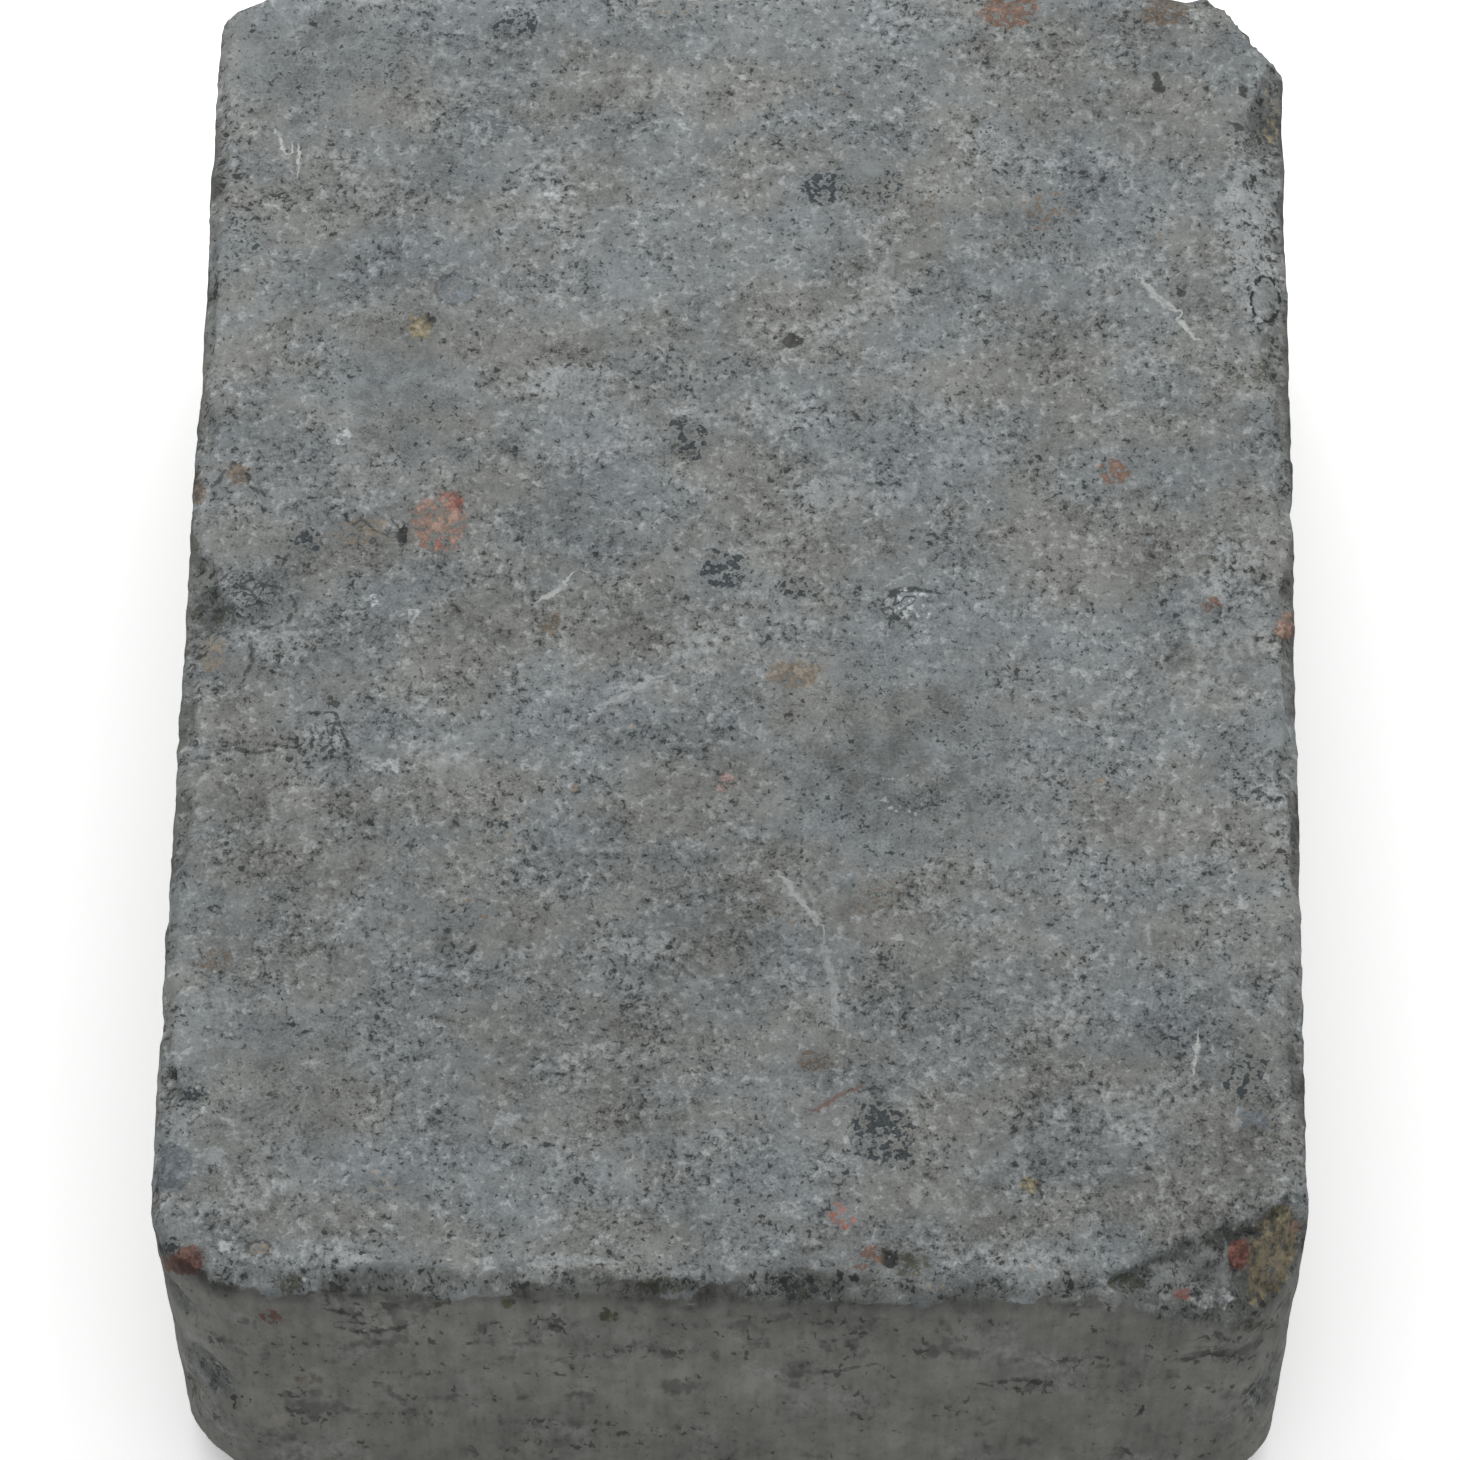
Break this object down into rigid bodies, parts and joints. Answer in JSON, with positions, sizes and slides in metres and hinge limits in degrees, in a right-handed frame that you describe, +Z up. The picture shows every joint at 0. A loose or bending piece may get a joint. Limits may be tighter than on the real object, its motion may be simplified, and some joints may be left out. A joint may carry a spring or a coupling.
{
  "type": "concrete paving stone",
  "caption": "Tumbled rectangular concrete paving stone with worn, chipped arrises and a spalled corner, laid flat on a sand bed to pave a path or yard.",
  "frame": {"origin": "centre of the bed face, on the ground that the stone lies on", "axes": "+Z up through the wearing face, +Y along the stone's length away from the viewer, +X to the viewer's right"},
  "size_m": [0.12, 0.16, 0.06],
  "materials": {
    "concrete": "weathered grey concrete, matt, with exposed sand, small pores and scattered brown, red and slate pebbles"
  },
  "bodies": {
    "root": {"paving_stone": "concrete"}
  },
  "joints": []
}
